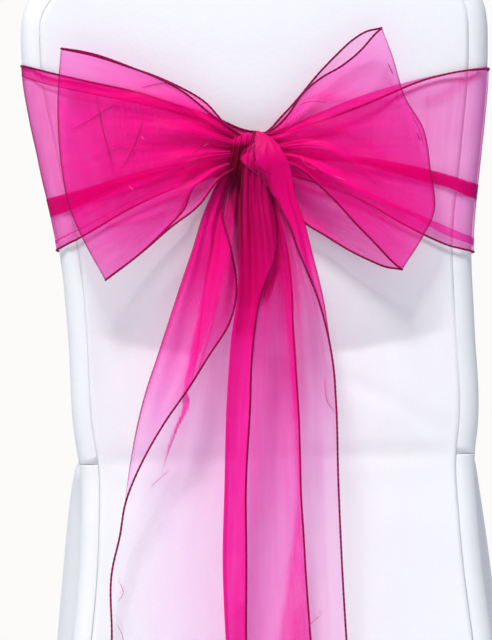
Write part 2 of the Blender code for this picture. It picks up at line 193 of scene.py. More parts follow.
def near(x, y, points, width):
    """1 on a line through points in a plane, falling off softly over width to each side."""
    points = line(points, np.linspace(0, 1, 24))
    best = np.full(np.broadcast(x, y).shape, 1e9)
    for (ax, ay), (bx, by) in zip(points[:-1], points[1:]):
        dx, dy = bx - ax, by - ay
        share = np.clip(((x - ax) * dx + (y - ay) * dy) / (dx * dx + dy * dy + 1e-12), 0, 1)
        best = np.minimum(best, (x - ax - share * dx) ** 2 + (y - ay - share * dy) ** 2)
    return np.exp(-best / width**2)


def grid_mesh(name, grids, marks=None):
    """One mesh of several grids of points, with UVs in metres of cloth and marks on its points."""
    corners, faces, cloth = [], [], []
    for grid in grids:
        rows, columns = grid.shape[:2]
        first = len(corners)
        corners += list(grid.reshape(-1, 3))
        down = np.zeros((rows, columns))
        down[1:] = np.cumsum(np.linalg.norm(np.diff(grid, axis=0), axis=2), axis=0)
        along = np.zeros((rows, columns))
        along[:, 1:] = np.cumsum(np.linalg.norm(np.diff(grid, axis=1), axis=2), axis=1)
        middle = along[rows // 2][None, :] + 0 * along
        cloth += list(np.stack([middle, down], -1).reshape(-1, 2))
        r, c = np.meshgrid(np.arange(rows - 1), np.arange(columns - 1), indexing="ij")
        a = first + r * columns + c
        faces += list(np.stack([a, a + 1, a + columns + 1, a + columns], -1).reshape(-1, 4))
    mesh = bpy.data.meshes.new(name)
    mesh.from_pydata([tuple(p) for p in corners], [], [tuple(int(i) for i in f) for f in faces])
    layer = mesh.uv_layers.new(name="cloth")
    loops = np.empty(len(mesh.loops), np.int32)
    mesh.loops.foreach_get("vertex_index", loops)
    layer.data.foreach_set("uv", np.array(cloth, np.float32)[loops].reshape(-1))
    for kind, values in (marks or {}).items():
        layer = mesh.attributes.new(kind, "FLOAT", "POINT")
        flat = np.concatenate([v.reshape(-1) for v in values])
        layer.data.foreach_set("value", flat.astype(np.float32))
    mesh.shade_smooth()
    made = bpy.data.objects.new(name, mesh)
    bpy.context.collection.objects.link(made)
    return made


# Cover cloth: plain white woven polyester with a dull face, a little blue in the shade.
# The weave is a fine twill, and the cloth is slightly uneven from hanging.
def cover_finish():
    finish = Finish("cover_cloth")
    cloth = finish.node("ShaderNodeUVMap", uv_map="cloth")
    parts = finish.node("ShaderNodeSeparateXYZ", {0: cloth})
    along = Value(finish, parts.socket.node.outputs[0])
    down = Value(finish, parts.socket.node.outputs[1])
    twill = ((along + down) * (2 * math.pi / 0.0016)).math("SINE")
    rib = (down * (2 * math.pi / 0.0011)).math("SINE")
    place = finish.node("ShaderNodeTexCoord", out="Object")
    slack = finish.noise(place, 9.0, 3.0)
    fluff = finish.noise(place, 420.0, 2.0)
    height = twill * 0.35 + rib * 0.2 + fluff * 0.6
    uneven = (slack * 0.5 + fluff * 0.5).clamp()
    tint = finish.blend(uneven, (0.785, 0.80, 0.83, 1), (0.862, 0.872, 0.89, 1))
    surface = finish.node(
        "ShaderNodeBsdfPrincipled",
        {
            "Base Color": tint,
            "Roughness": 0.78,
            "Specular IOR Level": 0.25,
            "Sheen Weight": 0.12,
            "Normal": finish.bump(height, 0.35, 0.0003),
        },
    )
    return finish.show(surface)


COVER = cover_finish()
CLOTH = 1.5 * MM  # the solids' cloth
THIN_CLOTH = 1.2 * MM  # the cloth that shows
SEAM_GAP = 0.2 * MM  # between two panels along a seam
EDGE_ROUND = 19 * MM  # from a side edge in to the seam of the boxing strip
SHOULDER = 60 * MM  # radius of the two top corners
TOP_Z = 2 * MM
ARC = np.radians(np.arange(0, 91, 5))  # a quarter turn in steps
SEAT_Z = -465 * MM
FLOOR_Z = -930 * MM
SEAT_ROLL = 18 * MM  # the skirt rolls this far onto the seat
SEAT_FRONT = 480 * MM
FRONT_CORNER = 60 * MM

# Height, centre line sideways, half width, outside face, depth from face to face (mm)
BACK_PROFILE = [
    (2, -6, 219, -25, 50), (-60, -5, 219.5, -19, 50), (-93, -5, 219, -15, 51),
    (-180, -3, 208, -5, 54), (-266, 0, 195, 4, 57), (-340, 3, 193, 11, 61),
    (-438, 5, 192, 18, 71), (-465, 5, 188.5, 20, 75), (-532, 5, 189.5, 14, 80),
    (-700, 3, 206, -5, 80), (-930, 0, 228, -30, 80),
]


def profile(z):
    """Centre line, half width, outside face and depth of the back at height z, in metres."""
    read = through(BACK_PROFILE, np.asarray(z) / MM) * MM
    return read[..., 0], read[..., 1], read[..., 2], read[..., 3]


def slant(z):
    """How much longer a step across a side edge is level than square to the edge."""
    step = 1 * MM
    lean = (profile(z + step)[1] - profile(z - step)[1]) / (2 * step)
    return np.sqrt(1 + lean**2)


def round_back(across, deep, turn, z, off):
    """Point on the rounded outline of the back at height z, off outside it."""
    centre, half, face, depth = profile(z)
    x = centre + across * (half - EDGE_ROUND) + (EDGE_ROUND + off) * np.sin(turn)
    y = face + depth / 2 + deep * (depth / 2 - EDGE_ROUND) - (EDGE_ROUND + off) * np.cos(turn)
    return np.stack([x, y, z + 0 * x], axis=-1)


def cover_piece(made, node, side):
    """A panel of the cover: its grid is one face, and the cloth's thickness lies to one side."""
    solid = made.modifiers.new("Cloth", "SOLIDIFY")
    solid.thickness = THIN_CLOTH
    solid.offset = side
    made.data.materials.append(COVER)
    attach(made, "root")
    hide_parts(node)


def between_seams(heights, columns, gap):
    """Heights, place across and x of a panel that fills the outline inside the boxing strip."""
    inner = SHOULDER - EDGE_ROUND
    top = TOP_Z - EDGE_ROUND - SEAM_GAP
    z = np.concatenate([top - inner * (1 - np.cos(ARC)), heights * MM])[:, None]
    across = np.linspace(-1, 1, columns)[None, :]
    centre, half, _, _ = profile(z)
    drop = np.clip(top - z, 0, inner)
    cut = inner - np.sqrt(inner**2 - (inner - drop) ** 2)
    return z, across, centre + across * (half - (EDGE_ROUND + gap) * slant(z) - cut)


# Outside back: one long panel of the white cloth, sewn to the boxing strip down both sides.
# The pad of the chair's back fills it out, it is drawn in under the pad towards the seat,
# and below the seat it hangs free to the floor.
# Place across the back, height of the pad's lower edge (mm)
PAD_EDGE = [
    (-190, -336), (-174, -340), (-105, -358), (-20, -366), (60, -365), (173, -345), (190, -341),
]


def pad_out(across, x, z):
    """How far the pad pushes the cloth out: 4 mm at its middle, then in under its lower edge."""
    above = z / MM - through(PAD_EDGE, x / MM)[..., 0]
    under = 4 - 14 * np.clip(1 - above / 105, 0, 1) ** 2
    below = -10 * np.clip(1 + above / 105, 0, 1) ** 1.3
    rise = ease((-12 * MM - z) / (130 * MM))
    return np.where(above > 0, under, below) * MM * rise * (1 - across**8)


def back_panel():
    z, across, x = between_seams(np.linspace(-62, -930, 260), 81, 0.1 * MM)
    _, half, face, _ = profile(z)
    free = ease((-z - 500 * MM) / (400 * MM))
    folds = 4 * MM * free * np.cos(3.5 * math.pi * across + 0.4 * np.sin(z * 9))
    y = face - pad_out(across, x, z) - folds * (1 - across**4)
    seat_line = np.exp(-(((z + 463 * MM) / (9 * MM)) ** 2))
    y = y + 1.6 * MM * seat_line * (1 - across**8)
    pull_left = -0.8 * MM * near(x, z, [(-0.17, -0.30), (-0.13, -0.36), (-0.11, -0.43)], 0.012)
    pull_right = -1.0 * MM * near(x, z, [(0.17, -0.30), (0.14, -0.35), (0.12, -0.42)], 0.014)
    slack = 0.9 * MM * near(x, z, [(0.16, -0.44), (0.09, -0.40), (0.05, -0.385)], 0.010)
    y = y + pull_left + pull_right + slack
    from_edge = (1 - np.abs(across)) * half
    y = y + 0.18 * MM * np.exp(-((from_edge / (4 * MM)) ** 2))
    y = y + 0.08 * MM * np.sin(z * 700) * np.exp(-from_edge / (8 * MM))
    grid = np.stack([x, y, z + 0 * x], -1)
    made = grid_mesh("back_panel_cloth", [grid])
    cover_piece(made, "back_panel", 1)


back_panel()


# Boxing strip: one narrow strip of the white cloth up a side of the back, over the top and
# down the other side. Its two seams are a little puckered by the stitching.
def seam_allowance(rows, inward):
    """Adds the strip's raw edges, turned in behind the panels that they are sewn to."""
    edge, bend = np.array([0, 2.4 * MM, 0]), np.array([0, 1.3 * MM, 0])
    first = [rows[0] + inward * 3 * MM + edge, rows[0] + inward * 0.2 * MM + bend]
    last = [rows[-1] + inward * 0.2 * MM - bend, rows[-1] + inward * 3 * MM - edge]
    return np.array(first + rows + last)


def boxing_strip():
    side = np.linspace(-464.5, -62, 70) * MM
    half = profile(side)[1]
    widest = 219 * MM
    path = [(half[0] - 1.6 * MM, -469 * MM), (half[0] - 1.6 * MM, -466 * MM)]
    path += list(zip(half, side))
    for a in ARC:
        path.append((widest - SHOULDER * (1 - math.cos(a)), TOP_Z - SHOULDER * (1 - math.sin(a))))
    path += [(x, TOP_Z) for x in (widest - SHOULDER) * np.linspace(1, 0, 30)[1:-1]]
    path = np.array(path + [(0.0, TOP_Z)] + [(-x, z) for x, z in reversed(path)])
    ahead = np.gradient(path, axis=0)
    ahead /= np.linalg.norm(ahead, axis=1)[:, None]
    inward = np.stack([-ahead[:, 1], ahead[:, 0]], -1)
    run = np.concatenate([[0], np.cumsum(np.linalg.norm(np.diff(path, axis=0), axis=1))])
    turns = np.radians(list(range(0, 90, 5)) + [90, 90, 90, 90, 90] + list(range(95, 181, 5)))
    deep = [-1.0] * 18 + [-1.0, -0.5, 0.0, 0.5, 1.0] + [1.0] * 18
    tuck = np.zeros(len(path))
    tuck[[0, 1, -2, -1]] = 1.6 * MM  # both ends are tucked in behind the skirt
    rows = []
    for turn, depth_share in zip(turns, deep):
        inset = EDGE_ROUND * (1 - math.sin(turn))
        seam = math.exp(-((math.cos(turn) ** 2 - 1) / 0.09) ** 2)
        pucker = (0.15 + 0.07 * np.sin(run * 520)) * MM * seam
        inset = min(inset, EDGE_ROUND - 0.1 * MM)
        spot = path + inward * inset
        spot[:, 1] = np.maximum(spot[:, 1], path[0, 1])
        centre, _, face, depth = profile(spot[:, 1])
        y = face + depth / 2 + depth_share * (depth / 2 - EDGE_ROUND) - EDGE_ROUND * math.cos(turn)
        y = y + pucker * (1 if math.cos(turn) > 0 else -1) + tuck * math.cos(turn)
        rows.append(np.stack([spot[:, 0] + centre, y, spot[:, 1]], -1))
    into = np.stack([inward[:, 0], 0 * run, inward[:, 1]], -1)
    made = grid_mesh("boxing_strip_cloth", [seam_allowance(rows, into)])
    cover_piece(made, "boxing_strip", 1)


boxing_strip()


# Inside back: the panel on the seat side, of the same cloth, sewn to the boxing strip.
# It is smooth over the pad and tucked down to the seat.
def inside_back():
    z, across, x = between_seams(np.linspace(-62, -463, 80), 61, SEAM_GAP)
    _, half, face, depth = profile(z)
    low = ease((-z - 420 * MM) / (40 * MM))
    pad = 5 * MM * ease((z[0] - z) / (120 * MM)) * (1 - low) * (1 - across**4)
    dip = 1.0 * MM * np.exp(-((((1 - np.abs(across)) * half) / (3 * MM)) ** 2))
    crease = 1.2 * MM * near(x, z, [(-0.15, -0.44), (-0.08, -0.41), (0.0, -0.42)], 0.012)
    crease = crease + 1.2 * MM * near(x, z, [(0.15, -0.43), (0.10, -0.40), (0.03, -0.425)], 0.012)
    y = face + depth + pad - dip - crease
    made = grid_mesh("inside_back_cloth", [np.stack([x, y, z + 0 * x], -1)])
    cover_piece(made, "inside_back", -1)


inside_back()


def seat_outline(forward):
    """Half width of the seat's edge at a place forward of the back."""
    widen = 188.5 * MM + (198 - 188.5) * MM * ease((forward - 82 * MM) / (60 * MM))
    return widen + 3 * MM * ease((forward - 140 * MM) / (240 * MM))


def flare(low, forward):
    """How far the skirt has spread sideways: as the outside back does at the rear, sooner in front."""
    rear = ease((170 * MM - forward) / (80 * MM))
    width = profile(SEAT_Z + (FLOOR_Z - SEAT_Z) * np.asarray(low))[1]
    return rear * (width - 188.5 * MM) + (1 - rear) * 44 * MM * np.asarray(low) ** 0.75


def skirt_path(low):
    """Half of the outline in plan, from the front middle to a back seam; low is 0 at the seat."""
    front = SEAT_FRONT + 20 * MM * low
    corner = FRONT_CORNER + 10 * MM * low
    wide = seat_outline(np.array(380 * MM)) + flare(low, 380 * MM)
    plan = [(x, front) for x in (wide - corner) * np.linspace(0, 1, 22)[:-1]]
    for a in ARC:
        plan.append((wide - corner * (1 - math.sin(a)), front - corner * (1 - math.cos(a))))
    for forward in np.linspace(410, 60, 56) * MM:
        plan.append((seat_outline(forward) + flare(low, forward), forward))
    return np.array(plan)


def inset_path(plan, inset):
    """The outline moved in towards the seat."""
    away = np.gradient(plan, axis=0)
    away /= np.linalg.norm(away, axis=1)[:, None]
    return plan + np.stack([away[:, 1], -away[:, 0]], -1) * inset


def on_seat(plan):
    """0 where the skirt hangs from the boxing strip, 1 where it rolls onto the seat."""
    return ease((plan[:, 1] - 84 * MM) / (26 * MM))[:, None]


def seat_shift(forward):
    """The back leans 5 mm to one side of the seat, and the cloth follows it."""
    return 5 * MM * (1 - ease((forward - 60 * MM) / (200 * MM)))


# Seat: a patch of the white cloth over the seat's cushion, slightly crowned.
# It is sewn to the skirt all round, and the seam is a soft groove.
def seat_panel():
    rear = 93 * MM
    plan = skirt_path(0.0)
    rolled = on_seat(plan)
    edge = inset_path(plan, SEAT_ROLL * rolled + CLOTH * (1 - rolled) + 2 * SEAM_GAP)
    side = edge[edge[:, 0] >= edge[21, 0] - 0.01 * MM]
    side = side[np.argsort(side[:, 1])]
    y = np.concatenate([[rear], side[side[:, 1] > rear + 2 * MM][:, 1]])[:, None]
    across = np.linspace(-1, 1, 61)[None, :]
    x = across * np.interp(y, side[:, 1], side[:, 0]) + seat_shift(y)
    length = (y - rear) / (y[-1] - rear)
    crown = 11 * MM * (1 - across**4) * np.sin(math.pi * np.clip(length, 0, 1)) ** 0.7
    crease = near(x, y, [(-0.15, 0.13), (-0.06, 0.17), (0.02, 0.16)], 0.014)
    crease = crease + near(x, y, [(0.16, 0.14), (0.10, 0.19), (0.02, 0.21)], 0.013)
    z = SEAT_Z - 0.6 * MM + crown - 1.2 * MM * crease
    made = grid_mesh("seat_cloth", [np.stack([x, y + 0 * x, z], -1)])
    cover_piece(made, "seat_panel", -1)


seat_panel()


# Skirt: a strip of the white cloth sewn to the seat, from one back seam round the front to
# the other. It hangs from the seat's edge to the floor in soft flutes, deepest at the corners.
def skirt():
    roll = np.radians(np.arange(0, 91, 7.5))
    drops = np.linspace(22, 465, 60) * MM
    stations = len(skirt_path(0.0))
    share = np.linspace(0, 1, stations)
    rows = []
    for step in list(roll) + list(drops):
        rolling = len(rows) < len(roll)
        fall = SEAT_ROLL * (1 - math.cos(step)) if rolling else step
        low = 0.0 if rolling else (fall - SEAT_ROLL) / (465 * MM - SEAT_ROLL)
        plan = skirt_path(low)
        rolled = on_seat(plan)
        inset = SEAT_ROLL * (1 - math.sin(step)) if rolling else 0.0
        straight = SEAT_ROLL * (step / (math.pi / 2)) if rolling else fall
        depth = rolled[:, 0] * fall + (1 - rolled[:, 0]) * straight
        z = np.maximum(SEAT_Z - 0.1 * MM - depth, FLOOR_Z)
        flute = ease((fall - 60 * MM) / (400 * MM))
        wave = 9 * MM * flute * np.sin(share * math.pi * 9) * np.sin(share * math.pi) ** 2
        wave = wave + 1.6 * MM * flute * np.sin(share * 61 + 4 * low) * np.sin(share * math.pi)
        half = np.column_stack([inset_path(plan, inset * rolled - wave[:, None]), z])
        _, width, face, _ = (float(v) for v in profile(np.array(half[-1, 2])))
        corner = []
        for a in np.radians(np.arange(90, -1, -6)):
            x = width - EDGE_ROUND * (1 - math.sin(a)) + (SEAM_GAP / 2 if a == 0 else 0)
            dip = 0.9 * MM * math.exp(-((a / 0.25) ** 2))
            corner.append((x, face + EDGE_ROUND * (1 - math.cos(a)) + dip, half[-1, 2]))
        half = np.vstack([half, corner])
        whole = np.vstack([half[::-1][:-1] * np.array([-1, 1, 1]), half])
        whole[:, 0] += profile(whole[:, 2])[0] / (5 * MM) * seat_shift(whole[:, 1])
        rows.append(whole)
    made = grid_mesh("skirt_cloth", [np.array(rows)])
    cover_piece(made, "skirt", -1)


skirt()


# Sash: one strip of sheer fuchsia organza, 220 mm by 2.8 m, wrapped round the back and tied
# in a bow. Its colour deepens where layers lie over each other and where it is gathered, and a darker
# crimson is painted into its folds, creases, gathers and the knot's hollow as painted shade.
def organza():
    finish = Finish("organza")
    cloth = finish.node("ShaderNodeUVMap", uv_map="cloth")
    streaks = finish.noise(finish.stretched(cloth, (260.0, 14.0, 1.0)), 1.0, 3.0)
    patches = finish.noise(finish.stretched(cloth, (60.0, 30.0, 1.0)), 1.0, 2.0)
    threads = finish.noise(finish.stretched(cloth, (1400.0, 1400.0, 1.0)), 1.0, 1.0)
    density = finish.attribute("dye_depth")
    uneven = (streaks - 0.5) * 0.35 + (patches - 0.5) * 0.3 + (threads - 0.5) * 0.25
    cover = (density * (uneven + 1.0)).clamp(0.02, 1.0)
    # Painted shade: the fold mark paints a darker crimson into the cloth's folds, creases, gathers and the
    # knot's hollow, and also makes the cloth more solid there.
    depth = finish.attribute("painted_fold_shade").clamp()
    tint = finish.blend(depth, (0.97, 0.001, 0.22, 1), (0.16, 0.001, 0.018, 1))
    dye = finish.node(
        "ShaderNodeBsdfPrincipled",
        {
            "Base Color": tint,
            "Roughness": 0.45,
            "Specular IOR Level": 0.07,
            "Sheen Weight": 0.03,
            "Sheen Tint": (1.0, 0.1, 0.5, 1),
            "Normal": finish.bump(streaks * 0.7 + threads * 0.3, 0.3, 0.0006),
        },
    )
    tinted = finish.node("ShaderNodeBsdfTransparent", {"Color": (1.0, 0.255, 0.94, 1)})
    thin = finish.node("ShaderNodeBsdfTransparent", {"Color": (0.97, 0.86, 0.95, 1)})
    thick = finish.node("ShaderNodeBsdfTransparent", {"Color": (0.64, 0.61, 0.69, 1)})
    shade = finish.node("ShaderNodeMixShader", {0: density * density, 1: thin, 2: thick})
    clear = finish.node("ShaderNodeBsdfTransparent", {"Color": (1, 1, 1, 1)})
    shadow = finish.node("ShaderNodeLightPath", out="Is Shadow Ray")
    tinted = finish.node("ShaderNodeMixShader", {0: shadow, 1: tinted, 2: shade})
    solid = (density * 0.58 + depth * 0.42).clamp() * (shadow * -0.5 + 1.0)
    layer = finish.node("ShaderNodeMixShader", {0: solid, 1: tinted, 2: dye})
    return finish.show(finish.node("ShaderNodeMixShader", {0: cover, 1: clear, 2: layer}))


KNOT_X = -16 * MM
KNOT_Z = -174 * MM
BOW_TILT = math.radians(1.7)
KNOT_FACE = float(profile(np.array(KNOT_Z))[2])


def from_knot(right, up, out):
    """Point of the bow: right and up of the knot as it is tied, out from the outside back."""
    x = KNOT_X + right * math.cos(BOW_TILT) + up * math.sin(BOW_TILT)
    z = KNOT_Z - right * math.sin(BOW_TILT) + up * math.cos(BOW_TILT)
    return np.stack([x, profile(z)[2] - out, z], axis=-1)


MOST_LAYERS = 4.0  # however steep a gather stands


def gathered(grid, base):
    """Density of each point: base, and more where the cloth stands on edge in its gathers."""
    across = np.gradient(grid, axis=0)
    along = np.gradient(grid, axis=1)
    normal = np.cross(across, along)
    length = np.linalg.norm(normal, axis=2) + 1e-12
    facing = np.abs(normal[..., 1]) / length
    times = 1 / np.maximum(facing, 1 / MOST_LAYERS)
    return 1 - (1 - np.clip(base, 0, 0.985)) ** times


# Band: the middle of the strip, wrapped once round the back and drawn into the knot.
# A pleat that was packed into it runs right round.
# Place right of the knot, height above it (mm)
BAND_TOP = [
    (-208, 87), (-190, 81), (-150, 70), (-100, 57), (-60, 43), (-30, 32), (0, 19), (25, 18),
    (60, 30), (100, 45), (150, 59), (190, 67), (230, 73),
]
BAND_BOTTOM = [
    (-180, -87), (-150, -73), (-100, -48), (-60, -32), (-30, -24), (0, -20), (25, -20),
    (60, -30), (100, -46), (150, -75), (190, -94), (212, -100),
]
# Part of the way round from the -X side to the +X side, top hem, bottom hem (mm)
BAND_INSIDE = [(0.0, 87, -87), (0.2, 86, -97), (0.5, 82, -102), (0.8, 77, -101), (1.0, 73, -100)]
# Part of the way round from the knot: top fold-over, main pleat top and bottom, low pleat
# top and bottom, all as shares of the band's height
BAND_PLEATS = [
    (0.00, 0.10, 0.62, 0.66, 0.90, 0.91), (0.10, 0.13, 0.60, 0.66, 0.90, 0.93),
    (0.23, 0.01, 0.588, 0.667, 0.89, 0.925), (0.265, 0.005, 0.602, 0.672, 0.895, 0.945),
    (0.30, 0.01, 0.625, 0.70, 0.915, 0.957), (0.355, 0.01, 0.637, 0.71, 0.925, 0.965),
    (0.50, 0.01, 0.69, 0.77, 0.94, 0.96), (0.77, 0.085, 0.73, 0.826, 0.95, 0.955),
    (0.90, 0.105, 0.73, 0.81, 0.95, 0.955), (1.00, 0.06, 0.70, 0.75, 0.95, 0.955),
]
# A crease that runs in from the right top corner, drawn as denser cloth with painted shade along it: right of
# the knot and above it (mm)
BAND_CREASE = [(218, 70), (208, 62), (192, 51), (184, 46), (172, 41)]
# Slack folds below the band at both sides of the back: lines (mm) and width
BAND_SLACK = [
    ([(-185, -90), (-150, -130), (-120, -150)], 8),
    ([(190, -103), (165, -118), (140, -124)], 7),
]
LEFT_FRONT = 62  # columns of the band from its left end round to the knot


def band():
    stations = [(x, -1.0, 0.0) for x in np.linspace(0, 1, 50)]
    stations += [(1.0, -1.0, a) for a in np.radians(np.arange(7.5, 91, 7.5))]
    stations += [(1.0, d, math.pi / 2) for d in (-0.4, 0.4)]
    stations += [(1.0, 1.0, a) for a in np.radians(np.arange(90, 180, 7.5))]
    stations += [(x, 1.0, math.pi) for x in np.linspace(1, -1, 24)]
    stations += [(-1.0, 1.0, a) for a in np.radians(np.arange(187.5, 271, 7.5))]
    stations += [(-1.0, d, 1.5 * math.pi) for d in (0.4, -0.4)]
    stations += [(-1.0, -1.0, a) for a in np.radians(np.arange(270, 360, 7.5))]
    stations += [(x, -1.0, 2 * math.pi) for x in np.linspace(-1, 0, 50)]
    count = len(stations)
    columns, base, fold = [], [], []
    for k, (across, deep, turn) in enumerate(stations):
        outside = deep < 0 and (turn == 0 or turn == 2 * math.pi)
        flat_inside = not outside and abs(math.sin(turn)) <= 1e-6
        if deep < 0:
            round_edge = 19 * math.sin(turn)
            top = float(through(BAND_TOP, 11 + across * 200 + round_edge)[0])
            bottom = float(through(BAND_BOTTOM, 16 + across * 176.5 + round_edge)[0])
        else:
            inside = 0.5 * (1 - across) if flat_inside else (0.0 if across > 0 else 1.0)
            top, bottom = through(BAND_INSIDE, np.array(1 - inside))
        pleats = through(BAND_PLEATS, np.array(k / (count - 1)))
        over, main_top, main_low, low_top, low_low = pleats
        front = -1.6 if k > count / 2 else 2
        marks = [(over, front), (0, 0.5 * front + 0.5), (main_low, 0), (main_top, 1)]
        marks += [(low_low, 2), (low_top, 3), (1, 4)]
        share, layer = [], []
        for (s0, l0), (s1, l1), steps in zip(marks[:-1], marks[1:], (8, 60, 8, 26, 6, 12)):
            f = np.linspace(0, 1, steps, endpoint=False)
            share += list(s0 + (s1 - s0) * f)
            layer += list(l0 + (l1 - l0) * ease(f))
        share, layer = np.array(share + [1.0]), np.array(layer + [4.0])
        drawn = np.clip((170 - (top - bottom)) / 130, 0, 1)
        z = KNOT_Z + (top + (bottom - top) * share) * MM
        steep = min(0.6 + 5.5 * drawn, 0.36 * (top - bottom) / 4)
        ripple = steep * (0.5 - 0.5 * np.cos(2 * math.pi * 4 * share + 0.6 * np.sin(5 * share)))
        fine = 1.5 * drawn * np.sin(2 * math.pi * 13 * share + 1.3)
        tight = 1.0 if abs(math.sin(turn)) > 0.3 else 2.2
        off = tight + (ripple + fine) * (1.0 if outside else 0.25) + 0.35 * layer
        if outside:
            off = off + 4.5 * (1 - across**4)
            for points, wide in BAND_SLACK:
                off = off + 1.3 * near(across * 190 + 0 * share, z / MM, points, wide)
        elif flat_inside:
            off = off + 5.5 * (1 - across**4)
        columns.append(round_back(across, deep, turn, z, off * MM))
        # Painted shade: a dark line where the band turns round the back's sides, and darker where it is drawn
        # into the knot, in its pleat and along the corner crease.
        painted_turn_shade = math.exp(-(((abs(math.sin(turn)) - 1) / 0.05) ** 2)) if deep < 0 else 0.0
        pleat = ease((share - main_top) / 0.01) * (1 - ease((share - main_low) / 0.01))
        side = 0.05 if turn > math.pi else -0.1
        single = 0.67 + side + 0.22 * drawn
        wedge = near((columns[-1][:, 0] - KNOT_X) / MM, (z - KNOT_Z) / MM, BAND_CREASE, 6) * (deep < 0)
        base.append(single + (1.0 - single) * pleat + 0.16 * wedge)
        fold.append(0.7 * painted_turn_shade + 0.3 * ease((drawn - 0.62) / 0.38) + 0.2 * pleat + 0.1 * wedge)
    grid = np.array(columns).transpose(1, 0, 2)
    return grid, np.clip(np.array(base).T, 0, 1), np.array(fold).T


# Loops: each is the strip laid out from the knot, turned at its outer fold and brought back,
# so it is two layers with a soft space between them, gathered hard where it enters the knot.
# Every line runs from the knot outwards: right of the knot, above it (mm)
LEFT_LOOP = {
    "top_back": [(-4, 12), (-19, 24), (-37, 44), (-66, 61), (-87, 70), (-105, 76), (-145, 88), (-171, 93)],
    "top_front": [(-5, 14), (-30, 31), (-58, 53), (-78, 64), (-105, 75), (-145, 89), (-172, 94)],
    "low_back": [(-6, -10), (-26, -22), (-48, -33), (-58, -55), (-72, -70), (-98, -95), (-131, -120)],
    "low_front": [(-5, -13), (-25, -27), (-44, -52), (-70, -72), (-98, -96), (-132, -122)],
    "fold": [(-172, 94), (-175, 46), (-172, -15), (-164, -56), (-154, -80), (-132, -122)],
}
RIGHT_LOOP = {
    "top_back": [(6, 11), (22, 19), (30, 28), (43, 42), (70, 74), (85, 90), (99, 104), (111, 112), (125, 114)],
    "top_front": [(7, 12), (28, 21), (38, 31), (55, 54), (70, 66), (88, 76), (106, 89), (127, 111)],
    "low_back": [(8, -14), (27, -30), (52, -65), (75, -80), (95, -93), (115, -104), (131, -111), (146, -112)],
    "low_front": [(10, -8), (30, -10), (49, -17), (67, -32), (86, -50), (102, -67), (120, -84), (146, -110)],
    "fold": [(127, 111), (136, 87), (149, 46), (165, 19), (172, -19), (175, -61), (166, -80), (146, -112)],
}
# Creases, right of the knot and above it, with height (mm) and width (mm)
LEFT_CREASES = [
    ([(-139, 53), (-133, 21), (-123, -17), (-118, -30)], 1.6, 2.2),
    ([(-160, 19), (-138, 31), (-117, 44), (-98, 49)], 1.6, 2.2),
    ([(-93, 39), (-98, 13), (-108, -8), (-119, -24)], 1.4, 2.0),
    ([(-98, 56), (-82, 60), (-67, 61)], 1.4, 1.6),
    ([(-140, -6), (-118, 2), (-98, 0), (-80, 8)], 1.2, 3.0),
    ([(-150, -60), (-120, -42), (-88, -30), (-50, -14)], 1.6, 3.0),
    ([(-128, -70), (-100, -66), (-76, -58)], 1.2, 3.0),
]
RIGHT_CREASES = [
    ([(133, 62), (138, 52), (141, 45)], 1.4, 1.4),
    ([(155, 22), (158, 10), (159, -2)], 1.4, 1.4),
    ([(24, 4), (60, -14), (100, -36), (150, -58)], 1.8, 3.0),
    ([(30, 10), (62, 6), (92, -8), (122, -30)], 1.6, 3.2),
    ([(64, 14), (90, 16), (112, 6), (128, -14)], 1.4, 4.0),
    ([(70, 50), (92, 44), (120, 46), (142, 40)], 1.2, 3.0),
    ([(52, 44), (66, 48), (78, 44)], 1.2, 1.6),
]


def coons(top, low, fold, start, reach, down):
    """Patch between two hems, the gathers at the knot and the outer fold."""
    r, t = np.meshgrid(np.atleast_1d(reach), down, indexing="ij")
    hems = (1 - t)[..., None] * line(top, r) + t[..., None] * line(low, r)
    ends = (1 - r)[..., None] * line(start, t) + r[..., None] * line(fold, t)
    c00, c01, c10, c11 = (np.array(p, float) for p in (top[0], low[0], top[-1], low[-1]))
    flat = (1 - r)[..., None] * ((1 - t)[..., None] * c00 + t[..., None] * c01)
    flat = flat + r[..., None] * ((1 - t)[..., None] * c10 + t[..., None] * c11)
    return hems + ends - flat


LOOP_TURN = 45  # row of a loop's outer fold
LOOP_FRONT = 52  # first row of its front layer
LOOP_WAVES = 4.5  # soft folds across it


